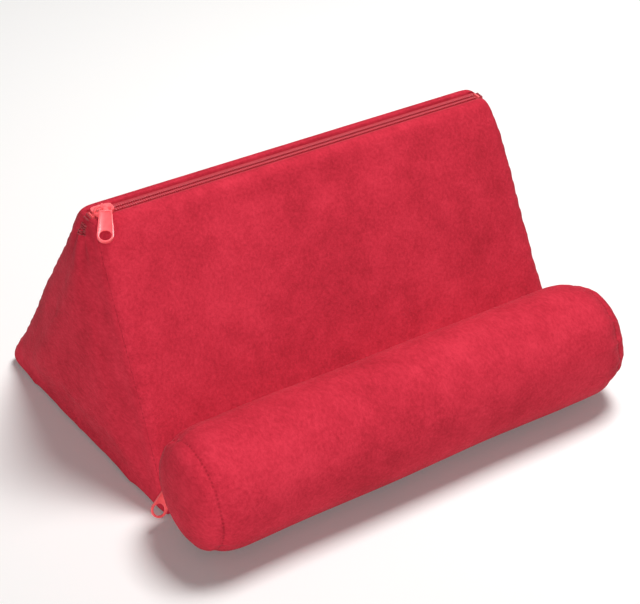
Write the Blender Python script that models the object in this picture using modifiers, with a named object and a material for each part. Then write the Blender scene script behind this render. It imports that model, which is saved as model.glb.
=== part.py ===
# A soft stand: a foam wedge in a sewn velvet cover, with a filled roll along its front.
# Each cover closes with a zip. Metres, +Z up, front towards -Y, origin on the floor.
import math

import bmesh
import bpy
from mathutils import Matrix, Vector

# Wedge
WEDGE_HEIGHT = 0.146
BASE_DEPTH = 0.188
RIDGE_DEPTH = 0.0201
FRONT_SLOPE = math.radians(61.4)
FRONT_EDGE_Y = -0.0633
BASE_HALF_WIDTH_FRONT = 0.1375
BASE_FLARE = 0.0135
RIDGE_TAPER = 0.0053
BOTTOM_EDGE_RADIUS = 0.0085
RIDGE_FRONT_RADIUS = 0.0090
RIDGE_REAR_RADIUS = 0.0035
END_EDGE_RADIUS = 0.0055
FRONT_CROWN = 0.0015
BACK_CROWN = 0.0015
END_CROWN = 0.0045

# Roll
ROLL_RADIUS = 0.0343
ROLL_SEAM_DRAW = 0.0038
ROLL_SHORTER_BY = 0.0060
ROLL_SHOULDER = 0.0140
ROLL_DOME = 0.0120
ROLL_FLOOR_PRESS = 0.0008
ROLL_BACK_PRESS = 0.0060
PUCKER_COUNT = 11
PUCKER_DEPTH = 0.0005
PUCKER_REACH = 0.0075

# Sewing
CLOTH = 0.0012
GAP = 0.0003
SEAM_SETBACK = 0.0007
FILLING_SLACK = 0.0006
STRIP_RISE = 0.0027
STRIP_SHORTER_BY = 0.0215
STRIP_THICKNESS = 0.0016

# Zips, seen in a frame on the cover's skin: X along, W across, N outwards
RIDGE_ZIP_SETBACK = 0.0102
ROLL_ZIP_RISE = 0.0030
RIDGE_ZIP_SHORTER_BY = 0.0045
ROLL_ZIP_SHORTER_BY = 0.0012
SLOT_HALF_WIDTH = 0.0048
TEETH_INNER = 0.0007
TEETH_OUTER = 0.0025
TEETH_TOP = -0.0010
TEETH_VALLEY = -0.0017
TEETH_BOTTOM = -0.0034
TEETH_PITCH = 0.0045
TAPE_OUTER = 0.0059
TAPE_TOP = -0.0019
TAPE_THICKNESS = 0.0006
STOP_LENGTH = 0.0010
SLIDER_LENGTH = 0.0120
SLIDER_HALF_WIDTH = 0.0043
SLIDER_TOP = 0.0006
SLIDER_PLATE = 0.0013
SLIDER_WEB = 0.0004
SLIDER_LIP = 0.0010
CHANNEL_DEPTH = 0.0056
CHANNEL_HALF_WIDTH = 0.0064

# Pulls
PULL_LENGTH = 0.0228
PULL_TOP_WIDTH = 0.0066
PULL_END_WIDTH = 0.0090
PULL_THICKNESS = 0.0016
PULL_HOLE_RADIUS = 0.0033
RIM_WIDTH = 0.0009
RIM_DEPTH = 0.0004
BARREL_RADIUS = 0.0014
BARREL_LENGTH = 0.0026
PIN_RADIUS = 0.0006
EAR_THICKNESS = 0.0010
EAR_REACH = 0.0016
RIDGE_PIVOT_W = -0.0045
RIDGE_PIVOT_N = 0.0034
RIDGE_PULL_DROP = math.radians(22.0)
RIDGE_PULL_YAW = math.radians(-28.4)
ROLL_PIVOT_X = -0.0051
ROLL_PULL_LIFT = math.radians(50.0)
EYE_RADIUS = 0.0029

# Widths and lengths that follow from the wedge's, and heights that follow from the roll's
RIDGE_HALF_WIDTH = BASE_HALF_WIDTH_FRONT - RIDGE_TAPER
RIDGE_ZIP_HALF_LENGTH = RIDGE_HALF_WIDTH - RIDGE_ZIP_SHORTER_BY
ROLL_SEAM_X = BASE_HALF_WIDTH_FRONT - ROLL_SHORTER_BY
ROLL_ZIP_HALF_LENGTH = ROLL_SEAM_X - ROLL_ZIP_SHORTER_BY
STRIP_HALF_LENGTH = ROLL_SEAM_X - STRIP_SHORTER_BY
ROLL_SEAM_RADIUS = ROLL_RADIUS - ROLL_SEAM_DRAW
ROLL_FLOOR_FLAT = ROLL_RADIUS - ROLL_FLOOR_PRESS
ROLL_BACK_FLAT = ROLL_RADIUS - ROLL_BACK_PRESS
STRIP_HEIGHT = ROLL_FLOOR_FLAT + STRIP_RISE

# Each slider stands against its left stop
RIDGE_SLIDER_X = -(RIDGE_ZIP_HALF_LENGTH - STOP_LENGTH - GAP - SLIDER_LENGTH / 2)
ROLL_SLIDER_X = -(ROLL_ZIP_HALF_LENGTH - STOP_LENGTH - GAP - SLIDER_LENGTH / 2)

# How finely the soft shapes are stepped
ARC_STEPS = 3
SLOPE_STEPS = 5
WIDTH_STEPS = 10
ROLL_STEPS = 30
ROLL_LENGTH_STEPS = 10

RIDGE_FRONT_Y = FRONT_EDGE_Y + WEDGE_HEIGHT / math.tan(FRONT_SLOPE)
REAR_EDGE_Y = FRONT_EDGE_Y + BASE_DEPTH
RIDGE_REAR_Y = RIDGE_FRONT_Y + RIDGE_DEPTH
RIDGE_ZIP_Y = RIDGE_FRONT_Y + RIDGE_ZIP_SETBACK
SKIN_INSET = CLOTH + GAP

# The front slope's own directions: up the slope, and out of it towards the roll
UP_SLOPE = Vector((0.0, math.cos(FRONT_SLOPE), math.sin(FRONT_SLOPE)))
TO_WEDGE = Vector((0.0, math.sin(FRONT_SLOPE), -math.cos(FRONT_SLOPE)))

# The roll lies on the floor against the front slope
ROLL_AXIS_Z = ROLL_FLOOR_FLAT
ROLL_AXIS_Y = (FRONT_EDGE_Y + ROLL_AXIS_Z / math.tan(FRONT_SLOPE)
               - ROLL_RADIUS / math.sin(FRONT_SLOPE))
ROLL_AXIS = Vector((0.0, ROLL_AXIS_Y, ROLL_AXIS_Z))


for leftover in list(bpy.data.objects):
    bpy.data.objects.remove(leftover, do_unlink=True)

parts = bpy.data.collections.new("tablet_cushion_stand")
cutters = bpy.data.collections.new("cutters")
bpy.context.scene.collection.children.link(parts)
bpy.context.scene.collection.children.link(cutters)


def material(name, colour, roughness, metallic=0.0):
    made = bpy.data.materials.new(name)
    made.use_nodes = True
    shader = made.node_tree.nodes["Principled BSDF"]
    shader.inputs["Base Color"].default_value = (*colour, 1.0)
    shader.inputs["Roughness"].default_value = roughness
    shader.inputs["Metallic"].default_value = metallic
    return made


def place(name, mesh, look, matrix=None, parent=None):
    mesh.materials.append(look)
    made = bpy.data.objects.new(name, mesh)
    parts.objects.link(made)
    if parent:
        made.parent = parent
    if matrix:
        made.matrix_world = matrix
    return made


def mesh_from(name, work):
    mesh = bpy.data.meshes.new(name)
    work.to_mesh(mesh)
    work.free()
    return mesh


def smooth(made, angle=math.radians(40.0)):
    made.data.shade_smooth()
    made.data.set_sharp_from_angle(angle=angle)


# The wedge's outline, seen from its left end

def wedge_half_width(y, z):
    """Half the cover's width, which flares towards the floor and the back."""
    rear_flare = BASE_FLARE / BASE_DEPTH
    at_ridge = BASE_HALF_WIDTH_FRONT + rear_flare * (RIDGE_ZIP_Y - FRONT_EDGE_Y)
    rise = (RIDGE_HALF_WIDTH - at_ridge) / WEDGE_HEIGHT
    return BASE_HALF_WIDTH_FRONT + rear_flare * (y - FRONT_EDGE_Y) + rise * z


def corner_arc(corner, before, after, radius, start=0.0, end=1.0):
    """Points and outward directions round one corner, from one side's direction to the next."""
    turn = before.angle_signed(after)
    tangent = radius * math.tan(abs(turn) / 2)
    first_out = Vector((before.y, -before.x))
    centre = corner - before * tangent - first_out * radius
    steps = max(1, round(2 * ARC_STEPS * (end - start)))
    made = []
    for step in range(steps + 1):
        share = start + (end - start) * step / steps
        out = Matrix.Rotation(abs(turn) * share, 2) @ first_out
        made.append((centre + out * radius, out))
    return made


def side_outline(start, end, crown):
    """A side from one arc's last point to the next arc's first one, bowed outwards."""
    (start_point, out), (end_point, _) = start[-1], end[0]
    between = []
    for step in range(1, SLOPE_STEPS):
        share = step / SLOPE_STEPS
        bow = crown * math.sin(math.pi * share) ** 2
        between.append((start_point.lerp(end_point, share) + out * bow, out))
    return start + between + end


front_bottom = Vector((FRONT_EDGE_Y, 0.0))
rear_bottom = Vector((REAR_EDGE_Y, 0.0))
ridge_rear = Vector((RIDGE_REAR_Y, WEDGE_HEIGHT))
ridge_front = Vector((RIDGE_FRONT_Y, WEDGE_HEIGHT))
along_base = (rear_bottom - front_bottom).normalized()
up_back = (ridge_rear - rear_bottom).normalized()
along_ridge = (ridge_front - ridge_rear).normalized()
down_front = (front_bottom - ridge_front).normalized()

seam_share = SEAM_SETBACK / BOTTOM_EDGE_RADIUS / math.radians(120.0)
front_toe = (front_bottom, down_front, along_base, BOTTOM_EDGE_RADIUS)
rear_toe = (rear_bottom, along_base, up_back, BOTTOM_EDGE_RADIUS)
rear_shoulder = (ridge_rear, up_back, along_ridge, RIDGE_REAR_RADIUS)
front_shoulder = (ridge_front, along_ridge, down_front, RIDGE_FRONT_RADIUS)
ridge_out = Vector((0.0, 1.0))
slot_front = (Vector((RIDGE_ZIP_Y - SLOT_HALF_WIDTH, WEDGE_HEIGHT)), ridge_out)
slot_rear = (Vector((RIDGE_ZIP_Y + SLOT_HALF_WIDTH, WEDGE_HEIGHT)), ridge_out)

base_outline = side_outline(corner_arc(*front_toe, 0.5 + seam_share, 1.0),
                            corner_arc(*rear_toe, 0.0, 0.5 - seam_share), 0.0)
back_outline = side_outline(corner_arc(*rear_toe, 0.5 + seam_share, 1.0),
                            corner_arc(*rear_shoulder), BACK_CROWN)
back_outline.append(slot_rear)
front_outline = [slot_front] + side_outline(corner_arc(*front_shoulder),
                                            corner_arc(*front_toe, 0.0, 0.5 - seam_share),
                                            FRONT_CROWN)
whole_outline = (side_outline(corner_arc(*front_toe, 0.5, 1.0),
                              corner_arc(*rear_toe, 0.0, 0.5), 0.0)[:-1]
                 + side_outline(corner_arc(*rear_toe, 0.5, 1.0),
                                corner_arc(*rear_shoulder), BACK_CROWN)
                 + side_outline(corner_arc(*front_shoulder),
                                corner_arc(*front_toe, 0.0, 0.5), FRONT_CROWN)[:-1])


def end_fall(distance):
    """How far the skin has turned in at this distance from an end's sharp edge."""
    if distance >= END_EDGE_RADIUS:
        return 0.0
    short = END_EDGE_RADIUS - distance
    return END_EDGE_RADIUS - math.sqrt(END_EDGE_RADIUS ** 2 - short ** 2)


seam_distance = END_EDGE_RADIUS * (1 - math.sqrt(0.5))
edge_distances = [seam_distance + SEAM_SETBACK, END_EDGE_RADIUS * 0.62, END_EDGE_RADIUS]


def side_columns():
    """Where a side panel's columns stand: distance from an end, and share of the width."""
    left = [(distance, 0.0) for distance in edge_distances]
    middle = [(END_EDGE_RADIUS, step / WIDTH_STEPS) for step in range(1, WIDTH_STEPS)]
    right = [(distance, 1.0) for distance in reversed(edge_distances)]
    return left + middle + right


def side_point(outline_point, column, inset=0.0):
    point, out = outline_point
    distance, share = column
    half = wedge_half_width(point.x, point.y)
    reach = (half - max(distance, inset)) * (2 * share - 1)
    if 0.0 < share < 1.0:
        reach = (half - END_EDGE_RADIUS) * (2 * share - 1)
    place_in_section = point - out * (end_fall(distance) + inset)
    return Vector((reach, place_in_section.x, place_in_section.y))


section_centre = Vector((REAR_EDGE_Y * 0.26, WEDGE_HEIGHT * 0.36))
end_shares = [0.0, 0.18, 0.42, 0.70, 1.0]


def end_rings():
    """The end's rings from its seam to its middle: distance from the edge, then share inwards."""
    return [(distance, 0.0) for distance in edge_distances] + \
           [(END_EDGE_RADIUS, share) for share in end_shares[1:]]


def end_point(outline_point, ring, side, inset=0.0):
    point, out = outline_point
    distance, share = ring
    inwards = (section_centre - point).normalized()
    least_facing = 0.45 + 0.3 * distance / END_EDGE_RADIUS
    stretch = distance / max(least_facing, -inwards.dot(out))
    section = (point + inwards * stretch).lerp(section_centre, share)
    swell = END_CROWN * (1 - (1 - share) ** 2)
    across = wedge_half_width(section.x, section.y) - end_fall(distance) + swell - inset
    return Vector((side * across, section.x, section.y))


def shaped_grid(name, rows, columns, position, closed_rows=False, outward_from=None):
    """A grid whose vertices are laid out by position(row, column), with its faces outwards."""
    work = bmesh.new()
    row_count = len(rows) + (1 if closed_rows else 0)
    bmesh.ops.create_grid(work, x_segments=len(columns) - 1, y_segments=row_count - 1, size=1.0)
    for vertex in work.verts:
        column = round((vertex.co.x + 1) / 2 * (len(columns) - 1))
        row = round((vertex.co.y + 1) / 2 * (row_count - 1)) % len(rows)
        vertex.co = position(rows[row], columns[column])
    bmesh.ops.remove_doubles(work, verts=work.verts, dist=0.00001)
    work.normal_update()
    facing = sum(face.normal.dot(face.calc_center_median() - outward_from) for face in work.faces)
    if facing < 0:
        bmesh.ops.reverse_faces(work, faces=work.faces)
    return mesh_from(name, work)


def thicken(made, thickness):
    wall = made.modifiers.new("cloth", "SOLIDIFY")
    wall.thickness = thickness
    wall.offset = -1.0
    smooth(made)


def cut(made, cutter):
    cutter.hide_render = True
    cutter.display_type = "WIRE"
    groove = made.modifiers.new("zip channel", "BOOLEAN")
    groove.operation = "DIFFERENCE"
    groove.object = cutter


def box_mesh(name, low, high):
    work = bmesh.new()
    bmesh.ops.create_cube(work, size=1.0)
    low, high = Vector(low), Vector(high)
    for vertex in work.verts:
        share = vertex.co + Vector((0.5, 0.5, 0.5))
        vertex.co = Vector([low[axis] + share[axis] * (high[axis] - low[axis]) for axis in range(3)])
    return mesh_from(name, work)


velvet = material("velvet", (0.53, 0.03, 0.05), 0.9)
foam = material("foam", (0.85, 0.80, 0.62), 0.95)
filling = material("fibre filling", (0.90, 0.90, 0.88), 1.0)
tape_cloth = material("zip tape", (0.40, 0.02, 0.035), 0.85)
teeth_plastic = material("zip teeth", (0.42, 0.02, 0.04), 0.45)
painted_metal = material("painted metal", (0.93, 0.17, 0.19), 0.35)

wedge_middle = Vector((0.0, section_centre.x, section_centre.y))
flat_columns = side_columns()


def add_side_panel(name, outline):
    mesh = shaped_grid(name, outline, flat_columns, side_point, outward_from=wedge_middle)
    thicken(place(name, mesh, velvet), CLOTH)


def add_end_panel(name, side):
    def position(outline_point, ring):
        return end_point(outline_point, ring, side)
    mesh = shaped_grid(name, whole_outline, end_rings(), position, closed_rows=True,
                       outward_from=wedge_middle)
    thicken(place(name, mesh, velvet), CLOTH)


add_side_panel("front_panel", front_outline)
add_side_panel("back_panel", back_outline)
add_side_panel("base_panel", base_outline)
add_end_panel("left_end_panel", -1)
add_end_panel("right_end_panel", 1)


def add_foam_wedge():
    """One block that fills the cover, from the middle of one end to the middle of the other."""
    ends = [(ring, -1) for ring in reversed(end_rings()[2:])]
    middle = [(column, 0) for column in flat_columns[3:-3]]
    stations = ends + middle + [(ring, 1) for ring, _ in reversed(ends)]

    def position(outline_point, station):
        where, side = station
        if side:
            point, out = outline_point
            inner = (point - out * SKIN_INSET, out)
            if where[1] == 0.0:
                flush = (inner[0], out)
                half = wedge_half_width(*flush[0]) - END_EDGE_RADIUS
                return Vector((side * half, *flush[0]))
            return end_point(inner, where, side, SKIN_INSET)
        return side_point(outline_point, where, SKIN_INSET)

    mesh = shaped_grid("foam_wedge", whole_outline, stations, position, closed_rows=True,
                       outward_from=wedge_middle)
    return place("foam_wedge", mesh, foam)


foam_wedge = add_foam_wedge()


# The roll: a cylinder with soft shoulders, domed ends, and flats on the floor and at the back

def roll_profile(share, inset=0.0):
    """Radius and reach for a share from -2 (left pole) over -1..1 (the sleeve) to 2."""
    side = -1.0 if share < 0 else 1.0
    if abs(share) <= 1.0:
        along = abs(share) * ROLL_SEAM_X
        into_shoulder = max(0.0, along - (ROLL_SEAM_X - ROLL_SHOULDER)) / ROLL_SHOULDER
        radius = ROLL_RADIUS - (ROLL_RADIUS - ROLL_SEAM_RADIUS) * into_shoulder ** 2
        return side * along, radius - inset
    turn = (abs(share) - 1.0) * math.pi / 2
    dome = (ROLL_DOME - inset) * math.sin(turn)
    return side * (ROLL_SEAM_X + dome), (ROLL_SEAM_RADIUS - inset) * math.cos(turn) ** 0.8


def seam_pucker(angle, reach):
    """How far the cap seam's gathers pull the cloth in, uneven round the roll."""
    from_seam = (abs(reach) - ROLL_SEAM_X) / PUCKER_REACH
    wave = math.cos(PUCKER_COUNT * angle + 1.6 * math.sin(3 * angle))
    return PUCKER_DEPTH * wave * math.exp(-from_seam ** 2)


def roll_point(angle, share, inset=0.0):
    reach, radius = roll_profile(share, inset)
    radius -= seam_pucker(angle, reach) * radius / ROLL_RADIUS
    spot = Vector((reach, radius * math.cos(angle), radius * math.sin(angle)))
    for out, distance in ((Vector((0, 0, -1)), ROLL_FLOOR_FLAT), (TO_WEDGE, ROLL_BACK_FLAT)):
        beyond = spot.dot(out) - (distance - inset)
        if beyond > 0:
            spot -= out * beyond
    return spot + ROLL_AXIS


def evenly(start, end, steps):
    return [start + (end - start) * step / steps for step in range(steps + 1)]


back_angle = math.atan2(TO_WEDGE.z, TO_WEDGE.y)
slot_upper = back_angle + math.atan((ROLL_ZIP_RISE + SLOT_HALF_WIDTH) / ROLL_BACK_FLAT)
slot_lower = back_angle + math.atan((ROLL_ZIP_RISE - SLOT_HALF_WIDTH) / ROLL_BACK_FLAT)
sleeve_angles = evenly(slot_upper, slot_lower + 2 * math.pi, ROLL_STEPS)
shoulder_share = 1 - ROLL_SHOULDER / ROLL_SEAM_X
seam_end = 1 - SEAM_SETBACK / ROLL_SEAM_X
half_shoulder = (shoulder_share + seam_end) / 2
straight_shares = evenly(-shoulder_share, shoulder_share, ROLL_LENGTH_STEPS)
sleeve_shares = [-seam_end, -half_shoulder] + straight_shares + [half_shoulder, seam_end]
cap_start = 1 + SEAM_SETBACK / ROLL_DOME
cap_shares = [cap_start, 1.2, 1.4, 1.6, 1.8, 2.0]

sleeve_mesh = shaped_grid("roll_sleeve", sleeve_angles, sleeve_shares, roll_point,
                          outward_from=ROLL_AXIS)
thicken(place("roll_sleeve", sleeve_mesh, velvet), CLOTH)

for cap_name, cap_side in (("roll_left_cap", -1), ("roll_right_cap", 1)):
    cap_mesh = shaped_grid(cap_name, sleeve_angles, [cap_side * share for share in cap_shares],
                           roll_point, closed_rows=True, outward_from=ROLL_AXIS)
    thicken(place(cap_name, cap_mesh, velvet), CLOTH)


def add_roll_filling():
    shares = [-share for share in reversed(cap_shares[1:])] + sleeve_shares + cap_shares[1:]

    def position(angle, share):
        return roll_point(angle, share, SKIN_INSET + FILLING_SLACK)
    mesh = shaped_grid("roll_filling", sleeve_angles, shares, position, closed_rows=True,
                       outward_from=ROLL_AXIS)
    return place("roll_filling", mesh, filling)


roll_filling = add_roll_filling()

# The strip that sews the roll to the front slope, deep in the groove
facet_sag = 0.0004
roll_side = ROLL_AXIS_Y + math.sqrt(ROLL_RADIUS ** 2
                                    - (STRIP_HEIGHT + STRIP_THICKNESS - ROLL_AXIS_Z) ** 2)
slope_side = FRONT_EDGE_Y + STRIP_HEIGHT / math.tan(FRONT_SLOPE) - FRONT_CROWN * 0.6
strip_mesh = box_mesh("joining_strip",
                      (-STRIP_HALF_LENGTH, roll_side - facet_sag + GAP, STRIP_HEIGHT),
                      (STRIP_HALF_LENGTH, slope_side, STRIP_HEIGHT + STRIP_THICKNESS))
place("joining_strip", strip_mesh, velvet)


# The zips. Each is built in its own frame, whose origin lies on the skin halfway along the zip.

def frame_matrix(origin, across, outwards):
    rows = Matrix((Vector((1, 0, 0)), across, outwards)).transposed()
    return Matrix.Translation(origin) @ rows.to_4x4()


ridge_frame = frame_matrix(Vector((0, RIDGE_ZIP_Y, WEDGE_HEIGHT)), Vector((0, 1, 0)),
                           Vector((0, 0, 1)))
roll_frame = frame_matrix(ROLL_AXIS + TO_WEDGE * ROLL_BACK_FLAT + UP_SLOPE * ROLL_ZIP_RISE,
                          -UP_SLOPE, TO_WEDGE)


def outline_mesh(name, points, half_thickness):
    """A closed outline in XY, filled and given its thickness along Z, with its faces joined."""
    curve = bpy.data.curves.new(name, "CURVE")
    curve.dimensions = "2D"
    curve.fill_mode = "BOTH"
    curve.extrude = half_thickness
    spline = curve.splines.new("POLY")
    spline.points.add(len(points) - 1)
    for spline_point, (x, y) in zip(spline.points, points):
        spline_point.co = (x, y, 0.0, 1.0)
    spline.use_cyclic_u = True
    guide = bpy.data.objects.new(name, curve)
    cutters.objects.link(guide)
    evaluated = guide.evaluated_get(bpy.context.evaluated_depsgraph_get())
    work = bmesh.new()
    flat = bpy.data.meshes.new_from_object(evaluated)
    work.from_mesh(flat)
    bmesh.ops.remove_doubles(work, verts=work.verts, dist=0.00001)
    bmesh.ops.recalc_face_normals(work, faces=work.faces)
    bpy.data.objects.remove(guide)
    bpy.data.meshes.remove(flat)
    return mesh_from(name, work)


def transformed(mesh, matrix):
    mesh.transform(matrix)
    return mesh


stand_up = Matrix.Rotation(math.pi / 2, 4, "X")


def add_teeth(name, frame, side, teeth_end):
    """One row of teeth: ridges across a bar, cut square at both ends."""
    count = round(2 * teeth_end / TEETH_PITCH)
    points = [(teeth_end, TEETH_BOTTOM), (teeth_end, TEETH_VALLEY)]
    for tooth in range(count):
        right = teeth_end - 2 * teeth_end * tooth / count
        step = 2 * teeth_end / count
        points += [(right - step * 0.25, TEETH_TOP), (right - step * 0.60, TEETH_TOP),
                   (right - step, TEETH_VALLEY)]
    points.append((-teeth_end, TEETH_BOTTOM))
    half = (TEETH_OUTER - TEETH_INNER) / 2
    mesh = outline_mesh(name, points, half)
    shift = Matrix.Translation((0, side * (TEETH_INNER + half), 0))
    place(name, transformed(mesh, shift @ stand_up), teeth_plastic, frame)


def across_box(name, frame, side, inner, outer, low, high, x_low, x_high, look):
    near, far = sorted((side * inner, side * outer))
    mesh = box_mesh(name, (x_low, near, low), (x_high, far, high))
    place(name, mesh, look, frame)


def add_chain(prefix, near_name, far_name, frame, half_length):
    teeth_end = half_length - STOP_LENGTH - GAP
    for side, side_name in ((-1, near_name), (1, far_name)):
        add_teeth(f"{prefix}_{side_name}_teeth", frame, side, teeth_end)
        across_box(f"{prefix}_{side_name}_tape", frame, side, TEETH_OUTER + GAP, TAPE_OUTER,
                   TAPE_TOP - TAPE_THICKNESS, TAPE_TOP, -half_length, half_length,
                   tape_cloth)
    for side, side_name in ((-1, "left"), (1, "right")):
        stop_low, stop_high = sorted((side * (half_length - STOP_LENGTH), side * half_length))
        across_box(f"{prefix}_{side_name}_stop", frame, 1, -TEETH_OUTER, TEETH_OUTER,
                   TEETH_BOTTOM, TEETH_TOP, stop_low, stop_high, painted_metal)


def add_channel(name, frame, made):
    """The groove in the filling that the slider's lower plate runs in."""
    mesh = box_mesh(name, (-ROLL_SEAM_X, -CHANNEL_HALF_WIDTH, -CHANNEL_DEPTH),
                    (ROLL_SEAM_X, CHANNEL_HALF_WIDTH, CHANNEL_DEPTH))
    cutter = bpy.data.objects.new(name, mesh)
    cutters.objects.link(cutter)
    cutter.matrix_world = frame
    cut(made, cutter)


add_chain("ridge_zip", "front", "back", ridge_frame, RIDGE_ZIP_HALF_LENGTH)
add_chain("roll_zip", "upper", "lower", roll_frame, ROLL_ZIP_HALF_LENGTH)
add_channel("ridge_channel", ridge_frame, foam_wedge)
add_channel("roll_channel", roll_frame, roll_filling)


def combine(operation, base, *others):
    """One closed body from a base mesh, with others joined to it, cut from it or crossed with it."""
    body = bpy.data.objects.new("body", base)
    cutters.objects.link(body)
    pieces = [body]
    for other in others:
        piece = bpy.data.objects.new("piece", other)
        cutters.objects.link(piece)
        step = body.modifiers.new("step", "BOOLEAN")
        step.operation = operation
        step.object = piece
        pieces.append(piece)
    evaluated = body.evaluated_get(bpy.context.evaluated_depsgraph_get())
    mesh = bpy.data.meshes.new_from_object(evaluated)
    for piece in pieces:
        bpy.data.objects.remove(piece)
    mesh.materials.clear()
    return mesh


def cylinder_mesh(name, radius, depth, segments=16):
    work = bmesh.new()
    bmesh.ops.create_cone(work, cap_ends=True, segments=segments, radius1=radius,
                          radius2=radius, depth=depth)
    return mesh_from(name, work)


def slider_mesh():
    """An extruded section: two plates with lips, joined by a web that runs between the teeth."""
    top, under = SLIDER_TOP, SLIDER_TOP - SLIDER_PLATE
    lower_top = TEETH_BOTTOM - GAP
    lower = lower_top - SLIDER_LIP
    wide, narrow = SLIDER_HALF_WIDTH, SLIDER_HALF_WIDTH - SLIDER_LIP
    lip_end = TAPE_TOP + GAP
    lower_lip_end = TAPE_TOP - TAPE_THICKNESS - GAP
    half = [(SLIDER_WEB, lower_top), (narrow, lower_top), (narrow, lower_lip_end),
            (wide, lower_lip_end), (wide, lower)]
    upper_half = [(wide, top), (wide, lip_end), (narrow, lip_end), (narrow, under),
                  (SLIDER_WEB, under)]
    right_side = upper_half + half
    left_side = [(-across, height) for across, height in reversed(right_side)]
    section = outline_mesh("slider section", right_side + left_side, SLIDER_LENGTH / 2)
    section.transform(Matrix.Rotation(math.pi / 2, 4, "Z") @ stand_up)
    plan_points = []
    for angle in evenly(0.0, 2 * math.pi, 28)[:-1]:
        along = SLIDER_LENGTH / 2 * math.copysign(abs(math.cos(angle)) ** 0.45, math.cos(angle))
        taper = 1 - 0.12 * (1 + along / (SLIDER_LENGTH / 2)) / 2
        across = wide * taper * math.copysign(abs(math.sin(angle)) ** 0.45, math.sin(angle))
        plan_points.append((along, across))
    plan = outline_mesh("slider plan", plan_points, SLIDER_LENGTH)
    return combine("INTERSECT", section, plan)


def ridge_slider_mesh():
    """The slider with two ears and a pin that the pull's barrel turns on."""
    pivot = Matrix.Translation((0, RIDGE_PIVOT_W, RIDGE_PIVOT_N))
    yaw = pivot @ Matrix.Rotation(RIDGE_PULL_YAW, 4, "Z")
    ears = []
    inner = BARREL_LENGTH / 2 + GAP
    for side in (-1, 1):
        near, far = sorted((side * inner, side * (inner + EAR_THICKNESS)))
        foot = SLIDER_TOP - RIDGE_PIVOT_N - 0.0001
        ears.append(transformed(box_mesh("ear", (near, -EAR_REACH * 0.7, foot),
                                         (far, EAR_REACH * 1.6, EAR_REACH * 0.8)), yaw))
    pin = cylinder_mesh("pin", PIN_RADIUS, 2 * inner + EAR_THICKNESS, 12)
    pin.transform(yaw @ Matrix.Rotation(math.pi / 2, 4, "Y"))
    return combine("UNION", slider_mesh(), *ears, pin)


def roll_slider_mesh():
    """The slider with an upright post, under a cap, that the pull's eye turns on."""
    eye_low = SLIDER_TOP + GAP
    cap_low = eye_low + PULL_THICKNESS + GAP
    post = cylinder_mesh("post", PIN_RADIUS, cap_low + EAR_THICKNESS, 12)
    post.transform(Matrix.Translation((ROLL_PIVOT_X, 0, (cap_low + EAR_THICKNESS) / 2)))
    cap = cylinder_mesh("cap", EYE_RADIUS * 0.75, EAR_THICKNESS, 16)
    cap.transform(Matrix.Translation((ROLL_PIVOT_X, 0, cap_low + EAR_THICKNESS / 2)))
    return combine("UNION", slider_mesh(), post, cap)


def pull_outline(half_top, half_end, inset=0.0):
    """The pull's outline, which widens towards its rounded end."""
    end_centre = PULL_LENGTH - half_end
    radius = half_end - inset
    points = [(BARREL_RADIUS * 1.6 + inset, -half_top + inset)]
    for angle in evenly(-math.pi / 2, math.pi / 2, 12):
        points.append((end_centre + radius * math.cos(angle), radius * math.sin(angle)))
    points.append((BARREL_RADIUS * 1.6 + inset, half_top - inset))
    return points


def pull_mesh(eye_upright):
    """A flat pull along +X with a raised rim, a grip hole, and the barrel or eye it turns on."""
    half_top, half_end = PULL_TOP_WIDTH / 2, PULL_END_WIDTH / 2
    tab = outline_mesh("tab", pull_outline(half_top, half_end), PULL_THICKNESS / 2)
    pockets = []
    for side in (-1, 1):
        pocket = outline_mesh("pocket", pull_outline(half_top, half_end, RIM_WIDTH), RIM_DEPTH)
        pocket.transform(Matrix.Translation((0, 0, side * PULL_THICKNESS / 2)))
        pockets.append(pocket)
    hole = cylinder_mesh("hole", PULL_HOLE_RADIUS, PULL_THICKNESS * 3, 20)
    hole.transform(Matrix.Translation((PULL_LENGTH - half_end, 0, 0)))
    neck_half = BARREL_LENGTH * 0.45
    neck = box_mesh("neck", (0, -neck_half, -PULL_THICKNESS * 0.35),
                    (BARREL_RADIUS * 2.2, neck_half, PULL_THICKNESS * 0.35))
    if eye_upright:
        eye = cylinder_mesh("eye", EYE_RADIUS, PULL_THICKNESS, 20)
        bore = cylinder_mesh("bore", PIN_RADIUS + 2 * GAP, PULL_THICKNESS * 3, 12)
    else:
        eye = cylinder_mesh("barrel", BARREL_RADIUS, BARREL_LENGTH, 16)
        eye.transform(stand_up)
        bore = cylinder_mesh("bore", PIN_RADIUS + GAP, BARREL_LENGTH * 3, 12)
        bore.transform(stand_up)
    pressed = combine("DIFFERENCE", tab, *pockets, hole)
    return combine("DIFFERENCE", combine("UNION", pressed, neck, eye), bore)


def add_slider(name, frame, slider_x, mesh):
    made = place(name, mesh, painted_metal, frame @ Matrix.Translation((slider_x, 0, 0)))
    smooth(made)
    return made


def add_pull(name, slider, matrix, mesh):
    made = place(name, mesh, painted_metal, matrix, slider)
    smooth(made)


ridge_slider = add_slider("ridge_zip_slider", ridge_frame, RIDGE_SLIDER_X, ridge_slider_mesh())
roll_slider = add_slider("roll_zip_slider", roll_frame, ROLL_SLIDER_X, roll_slider_mesh())

# The ridge pull hangs forwards over the corner, its width along the pin
ridge_pin = ridge_frame @ Matrix.Translation((RIDGE_SLIDER_X, RIDGE_PIVOT_W, RIDGE_PIVOT_N))
ridge_hang = (Matrix.Rotation(RIDGE_PULL_YAW - math.pi / 2, 4, "Z")
              @ Matrix.Rotation(RIDGE_PULL_DROP, 4, "Y"))
bpy.context.view_layer.update()
add_pull("ridge_zip_pull", ridge_slider, ridge_pin @ ridge_hang, pull_mesh(False))

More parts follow.
